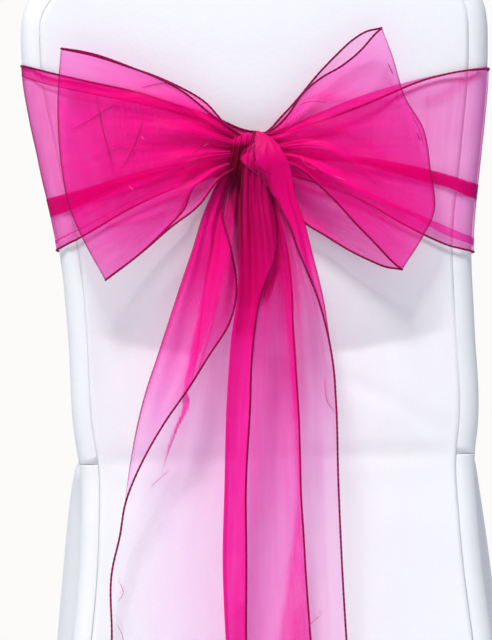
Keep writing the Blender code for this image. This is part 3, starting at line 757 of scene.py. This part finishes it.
def loop(lines, creases, phase, upper, lower):
    down = np.linspace(0, 1, 121)
    theta = np.linspace(0, math.pi, 91)
    reach = np.sin(theta) ** 0.9
    pair = []
    for side in ("back", "front"):
        top, low = lines["top_" + side], lines["low_" + side]
        fold = np.array(lines["fold"], float)
        spread = np.linspace(0, 1, len(fold))[:, None]
        slip = (1 - spread) * (np.array(top[-1]) - fold[0]) + spread * (np.array(low[-1]) - fold[-1])
        pair.append(coons(top, low, fold + slip, [top[0], low[0]], reach, down))
    blend = ease(0.5 - 0.5 * np.cos(theta))[:, None, None]
    flat = pair[0] * (1 - blend) + pair[1] * blend
    height = np.linalg.norm(flat[:, 0] - flat[:, -1], axis=1)[:, None]
    r = reach[:, None]
    t = down[None, :]
    turn = theta[:, None]
    full = ease(r / 0.45)
    gap = (3.5 + 13.5 * full) * (0.6 + 0.4 * np.sin(math.pi * t))
    middle = 25 + full + 3 * np.sin(math.pi * t) * full
    deep = np.minimum(0.20 * height / LOOP_WAVES, 0.9 + 4.6 * np.exp(-((r / 0.42) ** 2)))
    bend = 0.10 * np.sin(3 * r + phase) + 0.05 * np.sin(7 * t + 2 * turn)
    ripple = deep * np.cos(2 * math.pi * LOOP_WAVES * (t + bend * (1 - r)) + phase) * (1 - r**6)
    fine = np.minimum(0.24 * height / 13, 1.4 * np.exp(-((r / 0.27) ** 2)))
    fine = fine * (0.55 + 0.45 * np.sin(11 * t + 5 * r + 3 * phase))
    uneven = t + 0.04 * np.sin(6 * r) + 0.022 * np.sin(19 * t + phase) + 0.012 * np.sin(43 * t)
    ripple = ripple + fine * np.sin(2 * math.pi * 13 * uneven + 2 * phase)
    ripple = ripple + 0.9 * np.sin(9 * t + 5 * r + 1.5 * turn) * full
    fold_in = 0.55 + 0.45 * np.cos(turn) ** 2
    out = middle - np.cos(turn) * gap + ripple * fold_in
    base = upper + (lower - upper) * t + 0.42 * (1 - r) ** 1.2
    # Painted shade: darker crimson painted at the outer fold, where the loop is gathered into the knot, along
    # its creases, and in lighter and darker streaks near the knot.
    fold = 0.8 * np.exp(-(((1 - r) / 0.006) ** 2)) + 0.72 * (1 - ease(r / 0.28)) ** 1.3 + 0 * t
    for points, high, wide in creases:
        mark = near(flat[..., 0], flat[..., 1], points, wide) * (0.35 + 0.65 * (turn > math.pi / 2))
        out = out + high * mark
        base = base + 0.12 * mark
        fold = fold + 0.08 * mark
    streak = np.sin(2 * math.pi * 13 * uneven + 2 * phase)
    fold = fold - 0.16 * np.exp(-((r / 0.28) ** 2)) * streak
    grid = from_knot(flat[..., 0] * MM, flat[..., 1] * MM, out * MM)
    return grid, gathered(grid, base), np.clip(fold, 0, 1)


# Tails: the strip's two ends, hanging free from the knot to their hemmed ends. Each has an
# edge folded over in front, and soft pleats that open towards the floor.
# Drop below the knot, left fold, left hem, right fold, right hem (mm right of the knot)
LEFT_TAIL = [
    (8, -8, -6, 10, 10), (23, -23, -14, 16, 16), (55, -40, -24, 27, 27), (90, -52, -17, 35, 35),
    (134, -68, -13, 39, 39), (162, -78, -21, 39, 39), (190, -88, -40, 40, 40),
    (220, -99, -60, 41, 41), (251, -108, -83, 42, 42), (287, -116, -105, 42, 42),
    (327, -123, -122.5, 42, 42), (355, -128.5, -128, 43, 43), (390, -137, -136.5, 44, 44),
    (455, -139, -138.5, 47, 47), (530, -141, -140.5, 50, 50),
]
RIGHT_TAIL = [
    (-17, 7, 9, 13, 9.5), (-12, 6, 9, 22, 8.5), (-4, 3, 8, 30, 4.5), (5, -1, 7, 35, -3.8),
    (10, -3, 8, 38, -4.7), (16, -4, 9, 40, 0.9), (23, -5, 12, 41.5, 9.4), (36, -6, 17, 43, 19),
    (48, -7, 21, 45, 27), (69, -8, 25, 52, 37), (96, -9, 24, 58, 46), (138, -12.5, 9, 67, 62),
    (175, -19, 2, 72, 71), (203, -22, -1, 75.5, 75), (236, -25, -3, 77, 76.5),
    (308, -29, -9, 77, 76.5), (385, -33, -11, 78, 77.5), (460, -32, -13.5, 80, 79.5),
    (530, -30, -14, 83, 82.5),
]
# Pleat in the left tail's folded edge: drop, left side, right side (mm right of the knot)
LEFT_TAIL_PLEAT = [
    (20, -20, -8), (49, -33, -12), (82, -36, -14), (104, -40, -20), (134, -45, -30),
    (154, -49, -37), (178, -55, -45), (201, -60, -54), (222, -64, -62), (232, -63, -63),
]
# The pleat's end, below the flap
LEFT_TAIL_NIP = [
    (222, -64, -62.5), (230, -66, -59.5), (240, -66.5, -61.5), (248, -69.5, -65.5),
    (256, -73.5, -70.5), (266, -77.5, -75), (276, -81.5, -79.5), (288, -85, -84),
]
# Narrow double strip along the left tail's right hem
LEFT_TAIL_STRIPE = [
    (40, 20, 24), (80, 25, 33), (140, 32, 39), (165, 33, 39), (232, 36, 42), (310, 38, 44),
    (340, 36, 45), (400, 27, 47), (460, 16, 49), (530, 8, 50),
]
# Where the tails leave the knot their middle is gathered deep and painted dark as painted shade: drop, left
# side, right side
LEFT_TAIL_MIDDLE = [
    (10, -12, 8), (40, -18, 22), (60, -14, 28), (90, -12, 30), (115, -11, 26), (150, -9, 14),
]
RIGHT_TAIL_MIDDLE = [
    (12, -8, 12), (40, -8, 24), (70, -9, 28), (100, -10, 22), (125, -12, 12), (180, -18, 2),
]
# Edge of the right tail's flap, doubled once more where it nears the end
RIGHT_TAIL_NIP = [
    (150, -24, 10), (260, -26, -12), (330, -30, -9), (420, -34, -11), (440, -34, -12),
    (530, -32, -13),
]
# The flap is turned under once more at its foot
RIGHT_TAIL_FOOT = [
    (412, -14, -11), (426, -24, -11), (440, -36, -11), (530, -36, -12),
]
# Creases: right of the knot and drop below it, with height and width (mm)
LEFT_TAIL_CREASES = [
    ([(-40, 55), (-34, 75), (-40, 112), (-47, 160), (-58, 215), (-62, 224)], 1.6, 1.8),
    ([(-30, 135), (-42, 180), (-56, 215), (-62, 224)], 1.6, 1.8),
    ([(-64, 238), (-69, 251), (-76, 267), (-82, 282), (-87, 297)], 1.0, 1.6),
    ([(-80, 296), (-90, 304), (-100, 313)], 1.6, 1.6),
    ([(-131, 397), (-127, 410), (-133, 419)], 1.6, 1.6),
    ([(-134, 437), (-129, 449), (-128, 458)], 1.6, 1.6),
    ([(-20, 160), (-30, 260), (-40, 380), (-44, 500)], 2.2, 7.0),
    ([(-60, 260), (-74, 340), (-84, 430), (-90, 510)], 2.2, 8.0),
]
RIGHT_TAIL_CREASES = [
    ([(66, 216), (69, 237), (76, 246)], 1.4, 1.4),
    ([(-33, 436), (-22, 426), (-11, 418)], 1.2, 1.6),
    ([(42, 445), (50, 438), (58, 432)], 1.2, 1.6),
    ([(14, 60), (22, 130), (30, 230), (34, 360), (36, 520)], 2.0, 6.0),
    ([(34, 70), (46, 140), (54, 240), (58, 380), (60, 520)], 1.8, 6.0),
]
# Each with whether it lies in the folded edge, how softly it starts (mm), its density, and how dark it is
# painted (painted shade)
LEFT_PLEATS = [
    (LEFT_TAIL_PLEAT, True, 1.5, 0.42, 0.06),
    (LEFT_TAIL_NIP, False, 1.5, 0.65, 0.1),
    (LEFT_TAIL_STRIPE, False, 7.0, 0.42, 0.06),
    (LEFT_TAIL_MIDDLE, False, 6.0, 0.25, 0.8),
]
RIGHT_PLEATS = [
    (RIGHT_TAIL_NIP, True, 3.0, 0.16, 0.06),
    (RIGHT_TAIL_FOOT, True, 1.5, 0.2, 0.15),
    (RIGHT_TAIL_MIDDLE, False, 5.0, 0.25, 0.75),
]


TAIL_FLAP = 29  # columns of a tail's folded edge
TAIL_TURN = 9  # columns of each of its two side folds
TAIL_BACK = 11  # columns of its right edge, folded over


def tail(
    table, creases, pleats, root_out, stand_off, lean, waves, phase, slant_end, body, tip,
    flap_depth, at_left, at_right, painted_shade_reach_left, painted_shade_reach_right, bulge, knot_painted_shade, front_less,
):
    """A tail: out of the knot at root_out, off the back by stand_off, dense at body, thin at tip.

    at_left and at_right multiply its density towards its sides, the painted shade of the dark gathers at the
    knot reaches down as far as the left and right reach arguments give (mm), and bulge is how far it swells
    over the knot (mm).
    """
    drops = [np.linspace(table[0][0], 60, 22), np.linspace(63, 216, 42)]
    drops = np.concatenate(drops + [np.linspace(218.5, 302, 36), np.linspace(306, 525, 56)])
    left, left_hem, right, right_hem = (v[:, None] for v in through(table, drops).T)
    drop = drops[:, None]
    turn = np.linspace(0, math.pi, TAIL_TURN)[None, :]
    fold = np.minimum(2.6, 0.5 * np.abs(left_hem - left) + 0.25)
    other = np.minimum(2.6, 0.5 * np.abs(right - right_hem) + 0.25)
    flap = left_hem + (left + fold - left_hem) * np.linspace(0, 1, TAIL_FLAP + 1)[None, :-1]
    round_left = left + fold * (1 - np.sin(turn))
    main = left + fold + (right - other - left - fold) * np.linspace(0, 1, 96)[None, 1:-1]
    round_right = right - other * (1 - np.sin(turn))
    edge = np.linspace(0, 1, TAIL_BACK + 1)[None, 1:]
    back = right - other + (right_hem - right + other) * edge
    x = np.concatenate([flap, round_left, main, round_right, back], axis=1)
    over = [2 * fold + 0 * flap, fold * (1 + np.cos(turn)), 0 * main]
    over += [other * (1 - np.cos(turn)), 2 * other + 0 * back]
    over = np.concatenate(over, axis=1)
    width = right - left
    place = (x - left) / width
    deep = np.minimum(0.17 * width / waves, 5.0) * ease((drop - 4) / 90)
    ripple = deep * np.sin(2 * math.pi * waves * place + phase + drop / 260)
    near_knot = 1 - ease((drop - 10) / 190)
    fine = np.minimum(0.26 * width / 8, 2.6) * (0.06 + 0.94 * near_knot**1.5)
    ripple = ripple + fine * np.sin(2 * math.pi * 8 * place + 2 * phase - drop / 90)
    root = root_out + (stand_off - root_out) * ease((drop - table[0][0]) / 34)
    barrel = np.exp(-((drop / 26) ** 2)) * (1 - np.clip(np.abs(x - 17) / 24, 0, 1) ** 2)
    root = root + bulge * barrel
    hang = lean * place * ease((drop - 30) / 170)
    base = body + (tip - body) * ease((drop - 60) / 330) + 0 * x
    sideways = at_left + (at_right - at_left) * np.clip(place, 0, 1)
    base = base * (1 + (sideways - 1) * ease((drop - 150) / 200))
    # Painted shade: darker crimson painted down from the knot, further on one side than the other, less on the
    # front flap, at the side folds near the knot, and in the dark gathers and pleats.
    reach = painted_shade_reach_left + (painted_shade_reach_right - painted_shade_reach_left) * np.clip(place, 0, 1)
    fold = knot_painted_shade * (1 - ease((drop - 10) / reach))
    folded, turned, front = np.zeros((3, 1, x.shape[1]))
    folded[:, :TAIL_FLAP + TAIL_TURN] = 1
    turned[:, TAIL_FLAP:TAIL_FLAP + TAIL_TURN] = 1
    front[:, -TAIL_TURN - TAIL_BACK:] = 1
    base = base + 0.38 * near_knot**1.4 + flap_depth * folded
    fold = fold * (1 - front_less * front)
    fold = fold + 0.4 * turned * near_knot
    for pleat, on_flap, soft, more, painted_shade in pleats:
        pleat_left, pleat_right = (v[:, None] for v in through(pleat, drops).T)
        inside = ease((x - pleat_left) / soft + 0.5) * ease((pleat_right - x) / 1.5 + 0.5)
        inside = inside * (folded if on_flap else 1 - folded)
        inside = inside * ease((pleat[-1][0] - drop) / 14) * ease((drop - pleat[0][0]) / 4)
        base = base + more * inside
        over = over + 0.8 * inside * (painted_shade < 0.3)
        fold = np.maximum(fold, painted_shade * inside)
    base = np.clip(base, 0, 0.985)
    out = root + ripple + over + hang
    for points, high, wide in creases:
        mark = near(x, drop + 0 * x, points, wide)
        out = out + high * mark
        # Sharp creases also get painted shade along them.
        line_of = near(x, drop + 0 * x, points, wide * 0.55) * (wide < 3)
        base = base + 0.16 * line_of
        fold = fold + 0.1 * line_of
    down = drop + slant_end * (place - 0.5) * ease((drop - 350) / 175)
    y = KNOT_FACE - out * MM + 6 * MM * ease(drop / 525)
    grid = np.stack([KNOT_X + x * MM, y, KNOT_Z - down * MM], -1)
    return grid, gathered(grid, base), np.clip(fold, 0, 1)


# Knot: the strip comes from behind the top, over the front and down, gathered hard across,
# and the right tail leaves it over its front.
def knot_wrap():
    half_wide, high, proud, shift = 14, 20, 9, 3
    centre = (-3, -4, 24)  # right of the knot's place, above it and out of the back
    phase = 0.3
    angle = np.radians(np.linspace(-165, 165, 90))[:, None]
    v = np.linspace(-1, 1, 70)[None, :]
    narrow = 1 - 0.12 * np.cos(angle)
    x = centre[0] + half_wide * v * narrow - shift * np.sin(angle)
    pleats = 1.0 * np.sin(15 * v + phase + 0.9 * np.sin(angle)) + 0.5 * np.sin(31 * v + 2 * angle)
    curl = 1 - 0.5 * v**6
    up = centre[1] - (high + pleats * 0.4) * np.sin(angle) * (1 - 0.12 * v**2)
    out = centre[2] + (proud * curl + pleats) * np.cos(angle)
    grid = from_knot(x * MM, up * MM, out * MM)
    # Painted shade: the knot's hollow below its top strip is painted dark crimson, less towards one side, with
    # lighter and darker lines along its pleats.
    painted_shade = 0.1 + 0.9 * ease((np.sin(angle) + 0.8) / 0.5) * (1 - 0.4 * ease((v - 0.1) / 0.8))
    painted_shade = painted_shade - 0.08 * np.sin(15 * v + phase + 0.9 * np.sin(angle))
    return grid, 0.96 + 0 * x, np.clip(painted_shade, 0, 1)


def sash():
    pieces = [
        band(),
        loop(LEFT_LOOP, LEFT_CREASES, phase=0.4, upper=0.48, lower=0.58),
        loop(RIGHT_LOOP, RIGHT_CREASES, phase=2.2, upper=0.38, lower=0.74),
        tail(
            LEFT_TAIL, LEFT_TAIL_CREASES, LEFT_PLEATS,
            root_out=14, stand_off=15, lean=4, waves=3, phase=0.3, slant_end=26,
            body=0.66, tip=0.24, flap_depth=0.13, at_left=0.2, at_right=1.7,
            painted_shade_reach_left=40, painted_shade_reach_right=200, bulge=0, knot_painted_shade=0.7, front_less=0.0,
        ),
        tail(
            RIGHT_TAIL, RIGHT_TAIL_CREASES, RIGHT_PLEATS,
            root_out=26, stand_off=36, lean=8, waves=2.5, phase=1.4, slant_end=-22,
            body=0.70, tip=0.32, flap_depth=0.42, at_left=1.7, at_right=0.9,
            painted_shade_reach_left=230, painted_shade_reach_right=90, bulge=6, knot_painted_shade=0.66, front_less=0.85,
        ),
        knot_wrap(),
    ]
    marks = {"dye_depth": [p[1] for p in pieces], "painted_fold_shade": [p[2] for p in pieces]}
    made = grid_mesh("sash_cloth", [p[0] for p in pieces], marks)
    made.data.materials.append(organza())
    return made, [p[0] for p in pieces]


# Hem: the strip's edges are turned and overlocked with dark crimson thread, a fine beaded
# cord all round the strip. The band's folded top shows its own hem behind it.
HEM = 0.95 * MM
FAINT_HEM = 0.4 * MM
TOP_FOLD = 8  # row of the band's top fold


def hem_finish():
    finish = Finish("hem_thread")
    cloth = finish.node("ShaderNodeUVMap", uv_map="cloth")
    stitches = finish.noise(finish.stretched(cloth, (700.0, 200.0, 1.0)), 1.0, 2.0)
    tint = finish.blend(stitches, (0.13, 0.001, 0.026, 1), (0.38, 0.001, 0.095, 1))
    surface = finish.node(
        "ShaderNodeBsdfPrincipled",
        {
            "Base Color": tint,
            "Roughness": 0.7,
            "Specular IOR Level": 0.1,
            "Normal": finish.bump(stitches, 0.6, 0.0004),
        },
    )
    return finish.show(surface)


def rope(path, radius):
    """Grid of a thin round hem along a path: rows round it, columns along it."""
    ahead = np.gradient(path, axis=0)
    ahead /= np.linalg.norm(ahead, axis=1)[:, None] + 1e-12
    first = np.cross(ahead, np.array([0.0, 1.0, 0.0]))
    first /= np.linalg.norm(first, axis=1)[:, None] + 1e-9
    second = np.cross(ahead, first)
    beads = 1 + 0.12 * np.sin(np.arange(len(path)) * 2.1)
    rows = []
    for a in np.linspace(0, 2 * math.pi, 7):
        rows.append(path + (first * math.cos(a) + second * math.sin(a)) * (radius * beads)[:, None])
    return np.array(rows)


def finer(path):
    """The same path with a point every 1.6 mm."""
    run = np.concatenate([[0], np.cumsum(np.linalg.norm(np.diff(path, axis=0), axis=1))])
    at = np.linspace(0, run[-1], max(int(run[-1] / 0.0016), 8))
    return np.stack([np.interp(at, run, path[:, k]) for k in range(3)], -1)


def hems(grids):
    band_grid, left, right, left_tail, right_tail, _ = grids
    edges = [band_grid[0, :-LEFT_FRONT], band_grid[TOP_FOLD, -LEFT_FRONT:], band_grid[-1]]
    for one in (left, right, left_tail, right_tail):
        edges += [one[:, 0], one[:, -1]]
    edges += [left_tail[-1], right_tail[-1]]
    ropes = [rope(finer(edge), HEM) for edge in edges]
    ropes.append(rope(finer(band_grid[0, -LEFT_FRONT:]), FAINT_HEM))
    made = grid_mesh("sash_hem", ropes)
    made.data.materials.append(hem_finish())
    return made


# Creases: thin lines laid on the sash at its folds and where it was packed; the dark crimson ones
# are painted shade and the pale pink ones are painted highlights.
# Lines right of the knot and above it, the last number their half width (mm)
LEFT_LOOP_SHADE_LINES = [
    ([(-139, 53), (-136, 38), (-133, 21), (-128, 2), (-121, -21)], 0.45),
    ([(-160, 19), (-150, 24), (-138, 31), (-127, 38), (-116, 43)], 0.4),
    ([(-94, 33), (-98, 17), (-105, -1), (-116, -19)], 0.4),
    ([(-98, 56), (-82, 60), (-67, 61)], 0.4),
    ([(-130, -6), (-118, 0), (-104, 1)], 0.35),
    ([(-82, -82), (-70, -70), (-55, -46), (-48, -32)], 0.4),
    ([(-52, -6), (-40, 4), (-30, 12)], 0.35),
    ([(-58, -20), (-44, -8), (-28, 4)], 0.35),
]
RIGHT_LOOP_SHADE_LINES = [
    ([(131, 81), (134, 74), (137, 68)], 0.45),
    ([(158, 16), (160, 12), (162, 8)], 0.45),
    ([(34, 0), (70, -22), (104, -46), (146, -72)], 0.35),
    ([(46, 40), (60, 44), (78, 42)], 0.3),
    ([(152, 34), (160, 20), (166, 2)], 0.3),
]
RIGHT_LOOP_HIGHLIGHTS = [
    ([(50, -4), (57, -15), (71, -19)], 0.3),
    ([(80, -24), (93, -29)], 0.3),
    ([(24, -4), (28, -8)], 0.5),
]
LEFT_LOOP_HIGHLIGHTS = [
    ([(-97, 12), (-94, 9)], 0.5),
    ([(-108, -34), (-104, -38)], 0.5),
    ([(-40, 3), (-34, 6)], 0.4),
]


SHARP = 2.5  # creases in the tails up to this width (mm) show as a painted line, partly painted shade and partly painted highlight


def lay_on(grid, x, z):
    """Points at places in front of a grid, lying on its face."""
    flat = grid.reshape(-1, 3)
    y = []
    for px, pz in zip(x, z):
        gap = (flat[:, 0] - px) ** 2 + (flat[:, 2] - pz) ** 2
        weight = np.exp(-(gap - gap.min()) / (2 * MM) ** 2)
        y.append((flat[:, 1] * weight).sum() / weight.sum())
    return np.stack([x, np.array(y) - 0.5 * MM, z], -1)


def creases(grids):
    band_grid, left, right, left_tail, right_tail, _ = grids
    ropes, painted_highlight = [], []

    def add(path, half_wide, highlight):
        shape = np.minimum(np.linspace(0, 1, len(path)), np.linspace(1, 0, len(path)))
        taper = np.clip(shape * 4, 0.1, 1)
        one = rope(path, half_wide * MM * taper)
        ropes.append(one)
        painted_highlight.append(np.full(one.shape[:2], highlight))

    # Painted highlights: the pale loop lines; the other loop lines are painted shade.
    for grid, marks, highlight in (
        (left, LEFT_LOOP_SHADE_LINES, 0.0),
        (left, LEFT_LOOP_HIGHLIGHTS, 1.0),
        (right, RIGHT_LOOP_SHADE_LINES, 0.0),
        (right, RIGHT_LOOP_HIGHLIGHTS, 1.0),
    ):
        for points, half_wide in marks:
            spots = line(points, np.linspace(0, 1, 40))
            world = from_knot(spots[:, 0] * MM, spots[:, 1] * MM, 0 * spots[:, 0])
            add(lay_on(grid[LOOP_FRONT:], world[:, 0], world[:, 2]), half_wide, highlight)
    middle = band_grid[..., 0].mean(axis=0)
    sides = [band_grid[:, middle.argmax()], band_grid[:, middle.argmin()]]
    # Painted shade: dark lines along the loops' outer folds, the band's sides and the tails' folded edges.
    for fold in [left[LOOP_TURN], right[LOOP_TURN]] + sides:
        add(finer(fold), 0.4, 0.0)
    left_fold = left_tail[:, TAIL_FLAP + TAIL_TURN // 2]
    right_fold = right_tail[:, -TAIL_BACK - TAIL_TURN // 2 - 1]
    for fold, low, high, half_wide in ((left_fold, -500, -200, 0.65), (right_fold, -370, -190, 0.5)):
        shown = (fold[:, 2] > low * MM) & (fold[:, 2] < high * MM)
        add(finer(fold[shown]), half_wide, 0.0)
    # The tails' sharp creases get a painted line, partly painted shade and partly painted highlight.
    for tail_grid, marks in ((left_tail, LEFT_TAIL_CREASES), (right_tail, RIGHT_TAIL_CREASES)):
        for points, _, wide in marks:
            if wide > SHARP:
                continue
            spots = line(points, np.linspace(0, 1, 40)) * MM
            main = tail_grid[:, TAIL_FLAP + TAIL_TURN + 2:-TAIL_BACK - TAIL_TURN]
            add(lay_on(main, KNOT_X + spots[:, 0], KNOT_Z - spots[:, 1]), 0.3, 0.6)
    made = grid_mesh("sash_painted_lines", ropes, {"painted_highlight": painted_highlight})
    # The lines' colour runs from a dark crimson, painted shade, to a pale pink, painted highlight.
    finish = Finish("crease")
    tint = finish.blend(finish.attribute("painted_highlight"), (0.40, 0.001, 0.10, 1), (1.0, 0.12, 0.45, 1))
    look = {"Base Color": tint, "Roughness": 0.6, "Alpha": 0.6}
    surface = finish.node("ShaderNodeBsdfPrincipled", look)
    made.data.materials.append(finish.show(surface))
    return made


sash_cloth, sash_grids = sash()
sash_hem = hems(sash_grids)
sash_painted_lines = creases(sash_grids)
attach(sash_painted_lines, "root")
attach(sash_cloth, "root")
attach(sash_hem, "root")
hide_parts("sash")


# Floor: a plain pale studio floor under the hem.
floor_mesh = bpy.data.meshes.new("floor")
floor_shape = bmesh.new()
bmesh.ops.create_circle(floor_shape, cap_ends=True, radius=2.3, segments=96)
floor_shape.to_mesh(floor_mesh)
floor_shape.free()
floor_mesh.transform(Matrix.Translation((0, 0.2, FLOOR_Z)))
floor = bpy.data.objects.new("floor", floor_mesh)
bpy.context.collection.objects.link(floor)
floor_finish = Finish("floor")
floor_place = floor_finish.node("ShaderNodeTexCoord", out="Object")
floor_grain = floor_finish.noise(floor_place, 60.0, 3.0)
floor_mesh.materials.append(
    floor_finish.show(
        floor_finish.node(
            "ShaderNodeBsdfPrincipled",
            {
                "Base Color": (0.84, 0.835, 0.82, 1),
                "Roughness": 0.7,
                "Normal": floor_finish.bump(floor_grain, 0.1, 0.001),
            },
        )
    )
)
